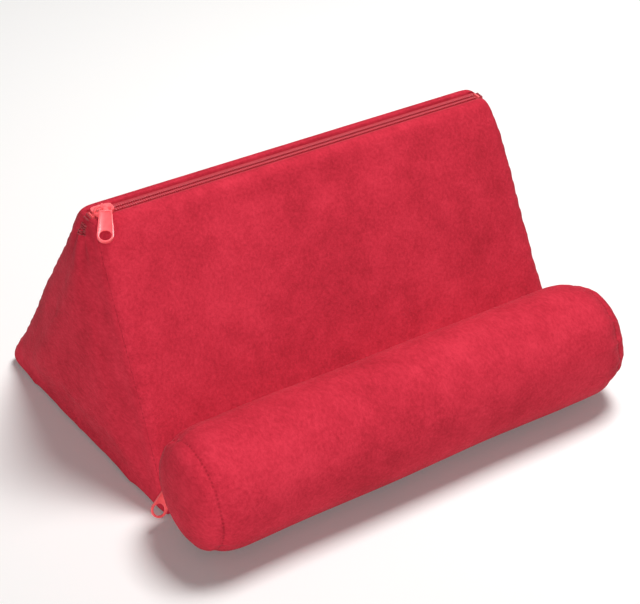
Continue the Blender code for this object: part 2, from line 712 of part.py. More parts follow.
# The roll pull lies flat against its slider and hangs outwards past the roll's end
eye_middle = SLIDER_TOP + GAP + PULL_THICKNESS / 2
roll_post = roll_frame @ Matrix.Translation((ROLL_SLIDER_X + ROLL_PIVOT_X, 0, eye_middle))
roll_hang = Matrix.Rotation(math.pi / 2 + ROLL_PULL_LIFT, 4, "Z")
add_pull("roll_zip_pull", roll_slider, roll_post @ roll_hang, pull_mesh(True))
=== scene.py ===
import math

import bmesh
import bpy
import numpy as np
from mathutils import Matrix, Vector, noise
from mathutils.bvhtree import BVHTree


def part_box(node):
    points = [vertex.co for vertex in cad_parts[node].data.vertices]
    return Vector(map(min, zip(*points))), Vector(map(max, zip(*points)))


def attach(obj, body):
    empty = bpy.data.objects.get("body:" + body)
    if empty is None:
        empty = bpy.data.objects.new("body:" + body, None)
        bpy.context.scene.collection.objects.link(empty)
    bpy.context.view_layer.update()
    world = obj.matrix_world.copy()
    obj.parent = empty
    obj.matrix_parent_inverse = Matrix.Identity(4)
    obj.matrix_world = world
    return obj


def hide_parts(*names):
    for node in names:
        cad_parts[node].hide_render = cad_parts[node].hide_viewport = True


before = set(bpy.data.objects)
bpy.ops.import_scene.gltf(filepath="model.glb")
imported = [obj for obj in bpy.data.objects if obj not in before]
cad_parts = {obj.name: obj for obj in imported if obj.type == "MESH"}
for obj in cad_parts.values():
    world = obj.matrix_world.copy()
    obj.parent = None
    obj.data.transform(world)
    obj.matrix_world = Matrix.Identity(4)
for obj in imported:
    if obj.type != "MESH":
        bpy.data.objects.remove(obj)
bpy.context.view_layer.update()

# The table top, the light and the camera
# A plain white table in a soft white room, with one broad lamp above it on the right and a
# wide fill at the front left that lights the stand and not the table.


def new_material(name):
    made = bpy.data.materials.new(name)
    made.use_nodes = True
    made.node_tree.nodes.clear()
    output = made.node_tree.nodes.new("ShaderNodeOutputMaterial")
    return made, made.node_tree.nodes, made.node_tree.links, output


def seen_directly(nodes, links):
    """Gives 1 where something is seen by the camera, in a gloss or through glass, else 0."""
    rays = nodes.new("ShaderNodeLightPath")
    seen = nodes.new("ShaderNodeMath")
    seen.operation = "MAXIMUM"
    seen_through = nodes.new("ShaderNodeMath")
    seen_through.operation = "MAXIMUM"
    links.new(rays.outputs["Is Camera Ray"], seen.inputs[0])
    links.new(rays.outputs["Is Glossy Ray"], seen.inputs[1])
    links.new(seen.outputs[0], seen_through.inputs[0])
    links.new(rays.outputs["Is Transmission Ray"], seen_through.inputs[1])
    return seen_through.outputs[0]


table_look, nodes, links, output = new_material("white_table")
paint = nodes.new("ShaderNodeBsdfPrincipled")
paint.inputs["Base Color"].default_value = (0.98, 0.965, 0.950, 1.0)
paint.inputs["Roughness"].default_value = 0.9
glow = nodes.new("ShaderNodeEmission")
glow.inputs["Color"].default_value = (1.0, 1.0, 1.0, 1.0)
share = nodes.new("ShaderNodeMath")
share.operation = "MULTIPLY"
share.inputs[1].default_value = 0.14
links.new(seen_directly(nodes, links), share.inputs[0])
mixed = nodes.new("ShaderNodeMixShader")
links.new(share.outputs[0], mixed.inputs["Fac"])
links.new(paint.outputs[0], mixed.inputs[1])
links.new(glow.outputs[0], mixed.inputs[2])
links.new(mixed.outputs[0], output.inputs["Surface"])

bpy.ops.object.select_all(action="DESELECT")
bpy.ops.mesh.primitive_plane_add(size=8.0, location=(0.0, 0.0, -0.0002))
table_top = bpy.context.object
table_top.name = "table_top"
table_top.data.materials.append(table_look)

room = bpy.data.worlds.new("room")
room.use_nodes = True
nodes, links = room.node_tree.nodes, room.node_tree.links
nodes.clear()
soft_light = nodes.new("ShaderNodeBackground")
soft_light.inputs["Color"].default_value = (1.0, 0.985, 0.97, 1.0)
soft_light.inputs["Strength"].default_value = 0.12
white = nodes.new("ShaderNodeBackground")
white.inputs["Color"].default_value = (1.0, 1.0, 1.0, 1.0)
white.inputs["Strength"].default_value = 1.0
either = nodes.new("ShaderNodeMixShader")
output = nodes.new("ShaderNodeOutputWorld")
links.new(seen_directly(nodes, links), either.inputs["Fac"])
links.new(soft_light.outputs[0], either.inputs[1])
links.new(white.outputs[0], either.inputs[2])
links.new(either.outputs[0], output.inputs["Surface"])
bpy.context.scene.world = room


def lamp(name, place, aim, size, power, shadow=True):
    light = bpy.data.lights.new(name, "AREA")
    light.use_shadow = shadow
    light.size = size
    light.energy = power
    made = bpy.data.objects.new(name, light)
    made.location = place
    made.rotation_euler = (Vector(aim) - Vector(place)).to_track_quat("-Z", "Y").to_euler()
    bpy.context.scene.collection.objects.link(made)
    return made


lamp("overhead_lamp", (0.40, 0.05, 1.35), (0.0, 0.0, 0.05), 0.50, 21.0)
front_fill = lamp("front_fill", (-1.15, -1.25, 0.72), (0.0, 0.0, 0.05), 1.4, 29.0, shadow=False)
not_table = bpy.data.collections.new("not_table")
not_table.objects.link(table_top)
front_fill.light_linking.receiver_collection = not_table
not_table.collection_objects[0].light_linking.link_state = "EXCLUDE"

camera = bpy.data.objects.new("camera", bpy.data.cameras.new("camera"))
camera.data.lens = 88.5
camera.data.sensor_width = 36.0
right, up = Vector((0.8433, -0.5375, 0.0)), Vector((0.3063, 0.4805, 0.8217))
backwards = right.cross(up).normalized()
right = up.cross(backwards).normalized()
camera.matrix_world = (Matrix.Translation((-0.4061, -0.6358, 0.5800))
                       @ Matrix((right, up.normalized(), backwards)).transposed().to_4x4())
bpy.context.scene.collection.objects.link(camera)
bpy.context.scene.camera = camera
bpy.context.scene.view_settings.view_transform = "Standard"

# The wedge's cover
# A sewn bag of short-pile velvet, drawn tight over a foam wedge: front, back and base panels
# and two three-cornered ends, seamed along every edge, with an open slot for its zip.

WEDGE_HEIGHT = 0.146
WEDGE_FRONT_Y = -0.0633
WEDGE_REAR_Y = 0.1247
FRONT_HALF_WIDTH = 0.1375
REAR_HALF_WIDTH = 0.1510
RIDGE_HALF_WIDTH = 0.1322
RIDGE_FRONT_Y = 0.0163
RIDGE_REAR_Y = 0.0364
RIDGE_ZIP_Y = 0.0265
RIDGE_ZIP_HALF_LENGTH = 0.1277
FRONT_RISE = math.atan2(WEDGE_HEIGHT, RIDGE_FRONT_Y - WEDGE_FRONT_Y)
BACK_RISE = math.atan2(WEDGE_HEIGHT, WEDGE_REAR_Y - RIDGE_REAR_Y)
SLOT_HALF_WIDTH = 0.0048
SLOT_DEPTH = 0.0053
SLOT_END_ROOM = 0.0004
CORNER_ZONE = 0.012
CORNER_RADIUS = 0.0014
CLOTH_FURTHEST = 0.0034


def only(piece):
    """Makes this piece the only selected one, ready for an operator."""
    bpy.ops.object.select_all(action="DESELECT")
    piece.select_set(True)
    bpy.context.view_layer.objects.active = piece


def pick(piece, kind, test):
    """In edit mode, selects the faces, edges or points whose middle passes a test."""
    work = bmesh.from_edit_mesh(piece.data)
    bpy.ops.mesh.select_all(action="DESELECT")
    if kind == "FACE":
        for face in work.faces:
            face.select = test(face.calc_center_median(), face.normal)
    if kind == "EDGE":
        for edge in work.edges:
            first, second = edge.verts
            edge.select = test((first.co + second.co) / 2, (second.co - first.co).normalized())
    if kind == "VERT":
        for vertex in work.verts:
            vertex.select = test(vertex.co, vertex.normal)
    work.select_mode = {kind}
    bpy.context.tool_settings.mesh_select_mode = (kind == "VERT", kind == "EDGE", kind == "FACE")
    work.select_flush_mode()
    bmesh.update_edit_mesh(piece.data)


def bevel_picked(piece, width, segments, test):
    pick(piece, "EDGE", test)
    bpy.ops.mesh.bevel(offset=width, segments=segments, affect="EDGES", clamp_overlap=True)


def apply_modifier(piece, kind, **settings):
    only(piece)
    made = piece.modifiers.new(kind.lower(), kind)
    for name, value in settings.items():
        setattr(made, name, value)
    bpy.ops.object.modifier_apply(modifier=made.name)


def join(pieces):
    """Joins pieces into the first one."""
    only(pieces[0])
    for piece in pieces:
        piece.select_set(True)
    bpy.ops.object.join()


def points_of(piece):
    flat = np.zeros(len(piece.data.vertices) * 3)
    piece.data.vertices.foreach_get("co", flat)
    return flat.reshape(-1, 3)


def normals_of(piece):
    flat = np.zeros(len(piece.data.vertices) * 3)
    piece.data.vertices.foreach_get("normal", flat)
    return flat.reshape(-1, 3)


def move_points(piece, points):
    piece.data.vertices.foreach_set("co", np.ascontiguousarray(points).ravel())
    piece.data.update()


def swell(piece, pressure, cap):
    """Fills a cover from inside with cloth simulation; cap gives each point's furthest move."""
    start = points_of(piece)
    only(piece)
    cloth = piece.modifiers.new("cloth", "CLOTH")
    cloth.settings.quality = 5
    cloth.settings.use_pressure = True
    cloth.settings.uniform_pressure_force = pressure
    cloth.settings.effector_weights.gravity = 0.0
    for number in range(1, 21):
        bpy.context.scene.frame_set(number)
    bpy.ops.object.modifier_apply(modifier=cloth.name)
    bpy.context.scene.frame_set(1)
    move = points_of(piece) - start
    move -= np.median(move, axis=0)
    length = np.linalg.norm(move, axis=1)
    move *= np.minimum(1.0, cap(start) / np.maximum(length, 1e-9))[:, None]
    move_points(piece, start + move)


def wrap_round(piece, node, least, most):
    """Keeps a cover between two distances from the filling inside it."""
    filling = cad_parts[node]
    inside = BVHTree.FromPolygons([vertex.co for vertex in filling.data.vertices],
                                  [face.vertices for face in filling.data.polygons])
    points, normals = points_of(piece), normals_of(piece)
    for number, point in enumerate(points):
        nearest, outwards, _, _ = inside.find_nearest(point)
        if outwards.dot(normals[number]) > 0.3:
            height = (Vector(point) - nearest).dot(outwards)
            wanted = min(max(height, least), most)
            points[number] = Vector(point) + outwards * (wanted - height)
    move_points(piece, points)


bpy.ops.object.select_all(action="DESELECT")
bpy.ops.mesh.primitive_cube_add(size=1.0)
wedge_cover = bpy.context.object
wedge_cover.name = "wedge_cover"
wedge_depth = WEDGE_REAR_Y - WEDGE_FRONT_Y
wedge_middle_y = (WEDGE_REAR_Y + WEDGE_FRONT_Y) / 2
bpy.ops.transform.resize(value=(2 * FRONT_HALF_WIDTH, wedge_depth, WEDGE_HEIGHT))
bpy.ops.transform.translate(value=(0.0, wedge_middle_y, WEDGE_HEIGHT / 2))
bpy.ops.object.transform_apply(location=True, rotation=True, scale=True)
bpy.ops.object.mode_set(mode="EDIT")
pick(wedge_cover, "EDGE", lambda at, along: at.z < 0.001 and at.y > 0.12)
bpy.ops.transform.resize(value=(REAR_HALF_WIDTH / FRONT_HALF_WIDTH, 1.0, 1.0),
                         center_override=(0.0, WEDGE_REAR_Y, 0.0))
pick(wedge_cover, "FACE", lambda at, normal: normal.z > 0.9)
narrowing = (RIDGE_REAR_Y - RIDGE_FRONT_Y) / wedge_depth
bpy.ops.transform.resize(value=(RIDGE_HALF_WIDTH / FRONT_HALF_WIDTH, narrowing, 1.0),
                         center_override=(0.0, 0.02583, WEDGE_HEIGHT))
bevel_picked(wedge_cover, 0.0055, 4, lambda at, along: at.z < 0.001 and abs(along.x) > 0.9)
bevel_picked(wedge_cover, 0.0052, 4,
             lambda at, along: at.z > 0.145 and abs(along.x) > 0.9 and at.y < 0.02)
bevel_picked(wedge_cover, 0.0020, 3,
             lambda at, along: at.z > 0.145 and abs(along.x) > 0.9 and at.y > 0.03)
bevel_picked(wedge_cover, 0.0050, 4,
             lambda at, along: abs(at.x) > 0.128 and abs(along.x) < 0.6)
bpy.ops.object.mode_set(mode="OBJECT")
apply_modifier(wedge_cover, "REMESH", mode="VOXEL", voxel_size=0.0040)


def wedge_depths(points):
    """Each point's depth under the end, front, back, base and ridge planes of the wedge."""
    x, y, z = points.T
    half = (FRONT_HALF_WIDTH + (REAR_HALF_WIDTH - FRONT_HALF_WIDTH) * (y - WEDGE_FRONT_Y)
            / wedge_depth - 0.0805 * z)
    return (half - np.abs(x),
            (y - WEDGE_FRONT_Y) * math.sin(FRONT_RISE) - z * math.cos(FRONT_RISE),
            (WEDGE_REAR_Y - y) * math.sin(BACK_RISE) - z * math.cos(BACK_RISE),
            z, WEDGE_HEIGHT - z)


def wedge_cap(points):
    end, front, back, base, ridge = wedge_depths(points)
    near_front = front < 0.004
    near_ridge = np.clip((ridge - 0.004) / 0.03, 0.0, 1.0)
    cap = np.where(end < 0.004, 0.0050, np.where(near_front, 0.0016, 0.0034))
    cap = np.where(base < 0.002, 0.0006, cap)
    return cap * near_ridge + 0.0003


swell(wedge_cover, 4.0, wedge_cap)
wrap_round(wedge_cover, "foam_wedge", 0.0015, CLOTH_FURTHEST)
apply_modifier(wedge_cover, "SMOOTH", factor=0.5, iterations=5)
wrap_round(wedge_cover, "foam_wedge", 0.0018, CLOTH_FURTHEST)


def fill_corners(points):
    """Squares up the end panels' edges at the base and the front, from their soft round."""
    end, front, back, base, ridge = wedge_depths(points)
    depths = np.stack([front, back, base])
    outwards = np.array(((0.0, -math.sin(FRONT_RISE), math.cos(FRONT_RISE)),
                         (0.0, math.sin(BACK_RISE), math.cos(BACK_RISE)), (0.0, 0.0, -1.0)))
    nearest = depths.argmin(axis=0)
    section = depths.min(axis=0)
    far_end = np.maximum(CORNER_ZONE - end, 0.0)
    far_section = np.maximum(CORNER_ZONE - section, 0.0)
    now = np.hypot(far_end, far_section)
    longer = np.maximum(far_end, far_section)
    steep = np.minimum(far_end, far_section) / np.maximum(longer, 1e-9)
    flat = CORNER_ZONE * np.sqrt(1.0 + steep ** 2)
    inner = CORNER_ZONE - CORNER_RADIUS
    mean = inner * (1.0 + steep) / np.sqrt(1.0 + steep ** 2)
    arc = mean + np.sqrt(np.maximum(mean ** 2 - 2.0 * inner ** 2 + CORNER_RADIUS ** 2, 0.0))
    wanted = np.where(steep * CORNER_ZONE > inner, arc, flat)
    grow = np.clip(wanted / np.maximum(now, 1e-9) - 1.0, 0.0, 0.6)
    grow *= (steep > 0.05) * np.clip(ridge / 0.02, 0.0, 1.0)
    grow *= np.where(nearest == 1, np.clip(1.0 - base / 0.03, 0.0, 1.0), 1.0)
    moved = points + outwards[nearest] * (far_section * grow)[:, None]
    moved[:, 0] += np.sign(points[:, 0]) * far_end * grow
    at_toe = np.clip(1.0 - base / 0.012, 0.0, 1.0) * np.clip(1.0 - end / 0.008, 0.0, 1.0)
    moved[:, 0] += np.sign(points[:, 0]) * 0.0014 * at_toe
    moved[:, 2] = np.maximum(moved[:, 2], 0.0)
    return moved


move_points(wedge_cover, fill_corners(points_of(wedge_cover)))
apply_modifier(wedge_cover, "SMOOTH", factor=0.5, iterations=2)
apply_modifier(wedge_cover, "SUBSURF", levels=1, render_levels=1)


def wrinkle(points, scale, seed):
    """Slow random waves from -1 to 1, the same in every run."""
    shift = Vector((seed * 7.31, seed * 3.17, seed * 5.53))
    return np.array([noise.noise(Vector(point) * scale + shift) for point in points])


def mark(piece, name, values):
    layer = piece.data.attributes.new(name, "FLOAT", "POINT")
    layer.data.foreach_set("value", np.ascontiguousarray(values, dtype=np.float32))


def dress_wedge(piece):
    points, normals = points_of(piece), normals_of(piece)
    end, front, back, base, ridge = wedge_depths(points)
    section = np.minimum(np.minimum(front, back), np.minimum(base, ridge))
    end_seam = end - section
    toe_seam = np.where(front < back, front - base, back - base)
    nearer_end = np.maximum(end, section) < np.maximum(np.minimum(front, back), base)
    across = np.where(nearer_end, end_seam, toe_seam)
    along = np.where(nearer_end, np.where(base < 0.006, points[:, 1], points[:, 2]),
                     points[:, 0])
    in_seam = np.exp(-(across / 0.0017) ** 2)
    beside_seam = np.exp(-np.abs(end_seam) / 0.010)
    puckers = wrinkle(points * (0.2, 1.0, 1.0), 110.0, 1)
    creases = wrinkle(points @ np.array(((1.0, 0.0, 0.0), (0.0, 0.8, -0.6), (0.0, 0.2, 0.3))), 34.0, 2)
    slow = wrinkle(points, 11.0, 9)
    move = -0.0003 * in_seam + 0.00018 * beside_seam * puckers + 0.0006 * creases + 0.0009 * slow
    from_zip = np.stack([np.maximum(0, np.abs(points[:, 0]) - 0.128), points[:, 1] - RIDGE_ZIP_Y,
                         points[:, 2] - WEDGE_HEIGHT])
    reach = np.linalg.norm(from_zip, axis=0)
    bearing = np.arctan2(from_zip[1], -from_zip[2])
    folds = np.sin(bearing * 10.0 + 0.8 + 2.6 * wrinkle(points, 26.0, 3))
    on_end = np.clip(1.0 - end / 0.006, 0.0, 1.0) * np.clip((section - 0.002) / 0.008, 0.0, 1.0)
    move += 0.0030 * folds * np.exp(-reach / 0.020) * on_end
    calm = np.clip((ridge - 0.001) / 0.006, 0.0, 1.0) * np.clip(base / 0.004, 0.0, 1.0)
    points = points + normals * (move * calm)[:, None]
    past_slot = np.clip((np.abs(points[:, 0]) - RIDGE_ZIP_HALF_LENGTH - 0.0002) / 0.0045, 0.0, 1.0)
    points[:, 2] -= 0.0046 * past_slot ** 2 * np.clip(1.0 - ridge / 0.016, 0.0, 1.0)
    points[:, 2] = np.maximum(points[:, 2], 0.0)
    move_points(piece, points)
    mark(piece, "across_seam", across * 2.0)
    mark(piece, "along_seam", along)
    # Painted shade: the valleys of the folds below each corner are darkened in colour, by the amount
    # stored here
    fold_valley_shade = np.clip(-folds, 0.0, 1.0) * np.exp(-reach / 0.018) * on_end
    mark(piece, "painted_shade", 0.75 * fold_valley_shade)


dress_wedge(wedge_cover)

# The slot that the zip lies in: the cloth is cut along it and folded in


def slot_frame(origin, across, outwards):
    rows = Matrix((Vector((1, 0, 0)), Vector(across), Vector(outwards))).transposed()
    return Matrix.Translation(origin) @ rows.to_4x4()


def sink_slot(piece, place, half_length):
    back = place.inverted()
    only(piece)
    bpy.ops.object.mode_set(mode="EDIT")
    cuts = [(Vector((0, 1, 0)), sign * (SLOT_HALF_WIDTH + extra))
            for sign in (-1, 1) for extra in (-0.0003, 0.0, 0.0009, 0.0024)]
    cuts += [(Vector((1, 0, 0)), sign * (half_length + extra))
             for sign in (-1, 1) for extra in (-0.0003, 0.0, 0.0009)]
    for axis, distance in cuts:
        pick(piece, "FACE", lambda at, normal: abs((back @ at).y) < SLOT_HALF_WIDTH + 0.008
             and (back @ at).z > -0.004 and abs((back @ at).x) < half_length + 0.006)
        bpy.ops.mesh.bisect(plane_co=place @ (axis * distance),
                            plane_no=place.to_3x3() @ axis, use_fill=False)
    bpy.ops.object.mode_set(mode="OBJECT")
    local = points_of(piece) @ np.array(back.to_3x3()).T + np.array(back.translation)
    near = (local[:, 2] > -0.0035) & (np.abs(local[:, 1]) < SLOT_HALF_WIDTH + 0.003) \
        & (np.abs(local[:, 0]) < half_length + 0.002)
    along = half_length - np.abs(local[:, 0])
    inside = np.minimum(along, SLOT_HALF_WIDTH - np.abs(local[:, 1]))
    local[near & (inside > 0.0002), 2] = -SLOT_DEPTH
    rim = near & (inside <= 0.0002) & (inside > -0.0001)
    local[rim, 2] = np.minimum(local[rim, 2], -0.0005)
    beside = near & (inside <= -0.0001) & (inside > -0.0030)
    local[beside, 2] = np.minimum(local[beside, 2], 0.0)
    matrix = np.array(place)
    move_points(piece, local @ matrix[:3, :3].T + matrix[:3, 3])
    # Painted shade: the cloth on the slot's floor is fully darkened, as the shade deep in the slot
    layer = piece.data.attributes["painted_shade"]
    slot_shade = np.zeros(len(local), dtype=np.float32)
    layer.data.foreach_get("value", slot_shade)
    slot_shade[near & (inside > 0.0002)] = 1.0
    layer.data.foreach_set("value", slot_shade)


ridge_place = slot_frame((0.0, RIDGE_ZIP_Y, WEDGE_HEIGHT), (0, 1, 0), (0, 0, 1))
sink_slot(wedge_cover, ridge_place, RIDGE_ZIP_HALF_LENGTH + SLOT_END_ROOM)
only(wedge_cover)
bpy.ops.object.shade_smooth_by_angle(angle=math.radians(50.0))

# Velvet: deep red pile that catches light at its rim, brushed into lighter and darker patches


def add_group(name, inputs, outputs):
    made = bpy.data.node_groups.new(name, "ShaderNodeTree")
    for socket, kind, value in inputs:
        made_socket = made.interface.new_socket(socket, in_out="INPUT", socket_type=kind)
        if value is not None:
            made_socket.default_value = value
    for socket, kind in outputs:
        made.interface.new_socket(socket, in_out="OUTPUT", socket_type=kind)
    return made, made.nodes.new("NodeGroupInput"), made.nodes.new("NodeGroupOutput")


def add_noise(tree, vector, scale, detail, rough=0.55):
    made = tree.nodes.new("ShaderNodeTexNoise")
    made.inputs["Scale"].default_value = scale
    made.inputs["Detail"].default_value = detail
    made.inputs["Roughness"].default_value = rough
    tree.links.new(vector, made.inputs["Vector"])
    return made.outputs["Fac"]


def add_math(tree, operation, first, second):
    made = tree.nodes.new("ShaderNodeMath")
    made.operation = operation
    for socket, value in zip(made.inputs, (first, second)):
        if isinstance(value, (int, float)):
            socket.default_value = value
        else:
            tree.links.new(value, socket)
    return made.outputs[0]


def add_ramp(tree, factor, stops):
    made = tree.nodes.new("ShaderNodeValToRGB")
    while len(made.color_ramp.elements) < len(stops):
        made.color_ramp.elements.new(0.5)
    for element, (position, colour) in zip(made.color_ramp.elements, stops):
        element.position = position
        element.color = (*colour, 1.0)
    tree.links.new(factor, made.inputs["Fac"])
    return made.outputs["Color"]


def add_mix(tree, factor, first, second, blend="MIX"):
    made = tree.nodes.new("ShaderNodeMix")
    made.data_type = "RGBA"
    made.blend_type = blend
    for socket, value in ((made.inputs[0], factor), (made.inputs[6], first),
                          (made.inputs[7], second)):
        if isinstance(value, (int, float)):
            socket.default_value = value
        elif isinstance(value, tuple):
            socket.default_value = (*value, 1.0)
        else:
            tree.links.new(value, socket)
    return made.outputs[2]


pile, pile_in, pile_out = add_group(
    "pile", [("Vector", "NodeSocketVector", None), ("Brushed", "NodeSocketFloat", 0.5),
             ("Painted Shade", "NodeSocketFloat", 0.0), ("Across", "NodeSocketFloat", 1.0),
             ("Along", "NodeSocketFloat", 0.0)],
    [("Color", "NodeSocketColor"), ("Height", "NodeSocketFloat")])
vector = pile_in.outputs["Vector"]
combed = pile.nodes.new("ShaderNodeMapping")
combed.inputs["Rotation"].default_value = (0.5, 0.3, 0.6)
combed.inputs["Scale"].default_value = (1.0, 0.45, 1.0)
pile.links.new(vector, combed.inputs["Vector"])
broad = add_noise(pile, vector, 14.0, 3.0)
patches = add_noise(pile, vector, 70.0, 4.0, 0.6)
tufts = add_noise(pile, combed.outputs["Vector"], 620.0, 4.0, 0.7)
hairs = add_noise(pile, combed.outputs["Vector"], 2600.0, 2.0, 0.7)
mottle = add_math(pile, "ADD", add_math(pile, "MULTIPLY", broad, 0.30),
                  add_math(pile, "MULTIPLY", patches, 0.28))
mottle = add_math(pile, "ADD", mottle, add_math(pile, "MULTIPLY", tufts, 0.42))
lean = add_ramp(pile, mottle, [(0.38, (0.32, 0.013, 0.025)), (0.50, (0.445, 0.020, 0.039)),
                               (0.62, (0.56, 0.031, 0.056))])
plain = add_mix(pile, pile_in.outputs["Brushed"], (0.445, 0.020, 0.039), lean)
# Along each seam the colour is darkened, most at each stitch: painted shade in the seam's groove and
# the stitches' dimples
from_seam = add_math(pile, "ABSOLUTE", pile_in.outputs["Across"], 0.0)
seam_line = pile.nodes.new("ShaderNodeMapRange")
seam_line.interpolation_type = "SMOOTHSTEP"
for socket, value in (("From Min", 0.0), ("From Max", 0.0009), ("To Min", 1.0), ("To Max", 0.0)):
    seam_line.inputs[socket].default_value = value
pile.links.new(from_seam, seam_line.inputs["Value"])
stitch = add_math(pile, "SINE", add_math(pile, "MULTIPLY", pile_in.outputs["Along"], 2500.0), 0.0)
stitch = add_math(pile, "ADD", add_math(pile, "MULTIPLY", stitch, 0.5), 0.5)
stitch = add_math(pile, "MULTIPLY", stitch, add_noise(pile, vector, 240.0, 3.0))
dimple = add_math(pile, "MULTIPLY", seam_line.outputs["Result"], add_math(
    pile, "ADD", add_math(pile, "MULTIPLY", stitch, 1.1), 0.22))
seamed = add_mix(pile, add_math(pile, "MULTIPLY", dimple, 0.62), plain, (0.17, 0.006, 0.012))
# Painted shade: where the painted-shade attribute is 1, the colour is mixed towards a near-black red
pile.links.new(add_mix(pile, pile_in.outputs["Painted Shade"], seamed, (0.16, 0.006, 0.012)),
               pile_out.inputs["Color"])
height = add_math(pile, "ADD", add_math(pile, "MULTIPLY", tufts, 0.5),
                  add_math(pile, "MULTIPLY", hairs, 0.35))
height = add_math(pile, "ADD", height, add_math(pile, "MULTIPLY", patches, 0.35))
height = add_math(pile, "SUBTRACT", height, add_math(pile, "MULTIPLY", dimple, 0.6))
pile.links.new(height, pile_out.inputs["Height"])


def velvet_material(name, brushed, seamed):
    made, nodes, links, output = new_material(name)
    where = nodes.new("ShaderNodeTexCoord")
    nap = nodes.new("ShaderNodeGroup")
    nap.node_tree = pile
    nap.inputs["Brushed"].default_value = brushed
    links.new(where.outputs["Object"], nap.inputs["Vector"])
    if seamed:
        for attribute, socket in (("painted_shade", "Painted Shade"), ("across_seam", "Across"),
                                  ("along_seam", "Along")):
            layer = nodes.new("ShaderNodeAttribute")
            layer.attribute_name = attribute
            links.new(layer.outputs["Fac"], nap.inputs[socket])
    shader = nodes.new("ShaderNodeBsdfPrincipled")
    shader.inputs["Roughness"].default_value = 0.95
    shader.inputs["Specular IOR Level"].default_value = 0.10
    shader.inputs["Sheen Weight"].default_value = 0.07
    shader.inputs["Sheen Roughness"].default_value = 0.22
    shader.inputs["Sheen Tint"].default_value = (1.0, 0.60, 0.64, 1.0)
    links.new(nap.outputs["Color"], shader.inputs["Base Color"])
    bump = nodes.new("ShaderNodeBump")
    bump.inputs["Strength"].default_value = 0.6
    bump.inputs["Distance"].default_value = 0.0010
    links.new(nap.outputs["Height"], bump.inputs["Height"])
    links.new(bump.outputs["Normal"], shader.inputs["Normal"])
    links.new(shader.outputs[0], output.inputs["Surface"])
    return made


velvet = velvet_material("red_velvet", 0.85, True)
wedge_cover.data.materials.append(velvet)
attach(wedge_cover, "cover")
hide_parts("front_panel", "back_panel", "base_panel", "left_end_panel",
            "right_end_panel", "foam_wedge")

# The roll's cover
# A velvet tube with a round cap sewn into each end, stuffed with loose fibre. Its cap seams
# pull the cloth into small puckers, and it lies flat on the table and against the wedge.

ROLL_RADIUS = 0.0343
ROLL_SEAM_X = 0.1315
ROLL_FLOOR_FLAT = 0.0335
ROLL_BACK_FLAT = 0.0283
ROLL_ZIP_HALF_LENGTH = 0.1303
FRONT_SLOPE = math.radians(61.4)
to_wedge = Vector((0.0, math.sin(FRONT_SLOPE), -math.cos(FRONT_SLOPE)))
up_slope = Vector((0.0, math.cos(FRONT_SLOPE), math.sin(FRONT_SLOPE)))
roll_axis = Vector((0.0, WEDGE_FRONT_Y + ROLL_FLOOR_FLAT / math.tan(FRONT_SLOPE)
                    - ROLL_RADIUS / math.sin(FRONT_SLOPE), ROLL_FLOOR_FLAT))

bpy.ops.object.select_all(action="DESELECT")
bpy.ops.mesh.primitive_cylinder_add(vertices=72, radius=ROLL_RADIUS - 0.0008, depth=0.232,
                                    rotation=(0.0, math.pi / 2, 0.0))
roll_cover = bpy.context.object
roll_cover.name = "roll_cover"
bpy.ops.object.transform_apply(location=True, rotation=True, scale=True)
bpy.ops.object.mode_set(mode="EDIT")
for side in (-1, 1):
    reach, radius = 0.116, ROLL_RADIUS - 0.0008
    for next_reach, next_radius in ((0.1240, 0.0328), (0.1290, 0.0314), (0.1315, 0.0300),
                                    (0.1345, 0.0292), (0.1385, 0.0262), (0.1415, 0.0205),
                                    (0.1430, 0.0120)):
        pick(roll_cover, "FACE", lambda at, normal: side * at.x > reach - 0.0005
             and side * normal.x > 0.95)
        bpy.ops.mesh.extrude_region_move(
            TRANSFORM_OT_translate={"value": (side * (next_reach - reach), 0.0, 0.0)})
        bpy.ops.transform.resize(value=(1.0, next_radius / radius, next_radius / radius),
                                 center_override=(side * next_reach, 0.0, 0.0))
        reach, radius = next_reach, next_radius
bpy.ops.object.mode_set(mode="OBJECT")
only(roll_cover)
bpy.ops.transform.translate(value=roll_axis)
bpy.ops.object.transform_apply(location=True, rotation=True, scale=True)
apply_modifier(roll_cover, "REMESH", mode="VOXEL", voxel_size=0.0036)


def roll_cap(points):
    from_seam = np.abs(np.abs(points[:, 0]) - ROLL_SEAM_X)
    return 0.0004 + 0.0022 * np.clip(from_seam / 0.006, 0.0, 1.0)


swell(roll_cover, 4.0, roll_cap)
wrap_round(roll_cover, "roll_filling", 0.0020, CLOTH_FURTHEST)
apply_modifier(roll_cover, "SMOOTH", factor=0.5, iterations=3)
wrap_round(roll_cover, "roll_filling", 0.0023, CLOTH_FURTHEST)
apply_modifier(roll_cover, "SUBSURF", levels=1, render_levels=1)


